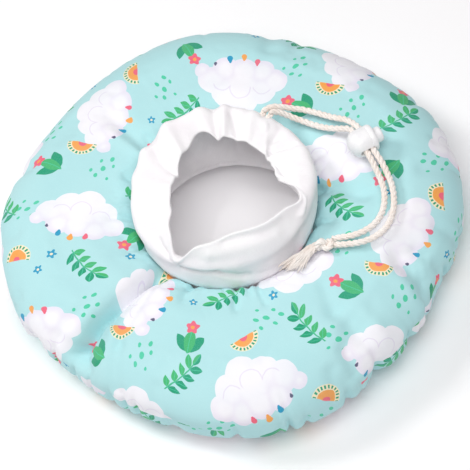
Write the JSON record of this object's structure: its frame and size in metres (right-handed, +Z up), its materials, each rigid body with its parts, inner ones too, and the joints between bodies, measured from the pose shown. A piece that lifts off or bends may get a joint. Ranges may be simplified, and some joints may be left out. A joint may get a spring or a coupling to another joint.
{
  "type": "cat recovery collar",
  "caption": "Padded cloth ring with a thin cotton neck sleeve, gathered by a drawstring with a sprung cord lock, a knot and a frayed tassel.",
  "frame": {"origin": "on the floor under the middle of the padded ring", "axes": "+Z up through the neck hole, -Y towards the side that the picture looks from, +X to the right"},
  "size_m": [0.2814, 0.2867, 0.0775],
  "materials": {
    "printed_cloth": "smooth woven polyester, aqua ground with a small print",
    "sleeve_cotton": "thin white knitted cotton",
    "cord_cotton": "twisted cream cotton cord",
    "lock_plastic": "white moulded plastic"
  },
  "bodies": {
    "collar": {"padded_ring": "printed_cloth", "neck_sleeve": "sleeve_cotton", "drawstring_loop": "cord_cotton", "strand_outer": "cord_cotton", "strand_inner": "cord_cotton", "lock_barrel": "lock_plastic", "cord_knot": "cord_cotton", "cord_tassel": "cord_cotton"},
    "button": {"lock_button": "lock_plastic"}
  },
  "joints": [
    {"name": "button_press", "type": "slide", "parent": "collar", "child": "button", "axis": [-0.9659, -0.2588, 0], "range_m": [0, 0.0025], "stiffness_N_per_m": 600, "springref_m": -0.003}
  ]
}
